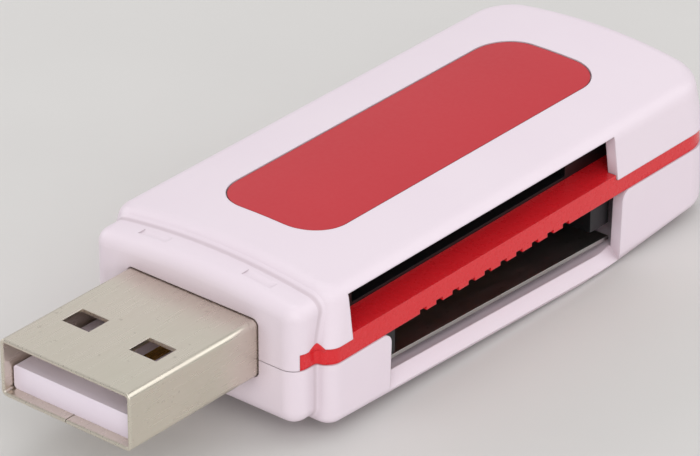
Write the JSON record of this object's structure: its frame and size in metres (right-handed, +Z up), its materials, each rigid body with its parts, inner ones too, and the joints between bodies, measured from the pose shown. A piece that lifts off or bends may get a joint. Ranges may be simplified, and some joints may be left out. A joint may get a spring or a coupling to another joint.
{
  "type": "usb memory card reader",
  "caption": "Stick-shaped USB memory card reader: white shells clamped on a red middle frame, type A plug at one end, card slots in the long sides, inlaid label panel on top.",
  "frame": {"origin": "under the middle of the overall length, on the plug's middle plane, level with the lowest point of the belly", "axes": "+Y runs along the body from the plug's tip to the rear end, +X points out of the side with the wide card slots, +Z points up through the label panel; the plug's axis is level"},
  "size_m": [0.0212, 0.0608, 0.0122],
  "materials": {
    "shell_white": "satin moulded ABS",
    "frame_red": "moulded ABS",
    "label_red": "printed film inlay",
    "plug_steel": "nickel plated drawn sheet",
    "insulator_white": "moulded insulator",
    "contact_gold": "gold plated strip",
    "board_green": "solder mask",
    "socket_black": "moulded socket resin",
    "cover_steel": "stamped sheet",
    "chip_black": "moulded epoxy",
    "lead_tin": "tinned lead",
    "lamp_clear": "clear epoxy",
    "ceramic_tan": "sintered ceramic"
  },
  "bodies": {
    "root": {"upper_shell": "shell_white", "lower_shell": "shell_white", "middle_frame": "frame_red", "label_panel": "label_red", "plug_shell": "plug_steel", "plug_insulator": "insulator_white", "plug_contacts": "contact_gold", "circuit_board": "board_green", "card_socket": "socket_black", "card_cover": "cover_steel", "card_contacts": "contact_gold", "stick_socket": "socket_black", "stick_plate": "cover_steel", "stick_contacts": "contact_gold", "micro_socket": "socket_black", "micro_cover": "cover_steel", "micro_contacts": "contact_gold", "mini_socket": "socket_black", "mini_cover": "cover_steel", "mini_contacts": "contact_gold", "controller_chip": "chip_black", "controller_leads": "lead_tin", "crystal_can": "cover_steel", "regulator_chip": "chip_black", "regulator_leads": "lead_tin", "indicator_led": "lamp_clear", "capacitors": "ceramic_tan", "resistors": "chip_black"}
  },
  "joints": []
}
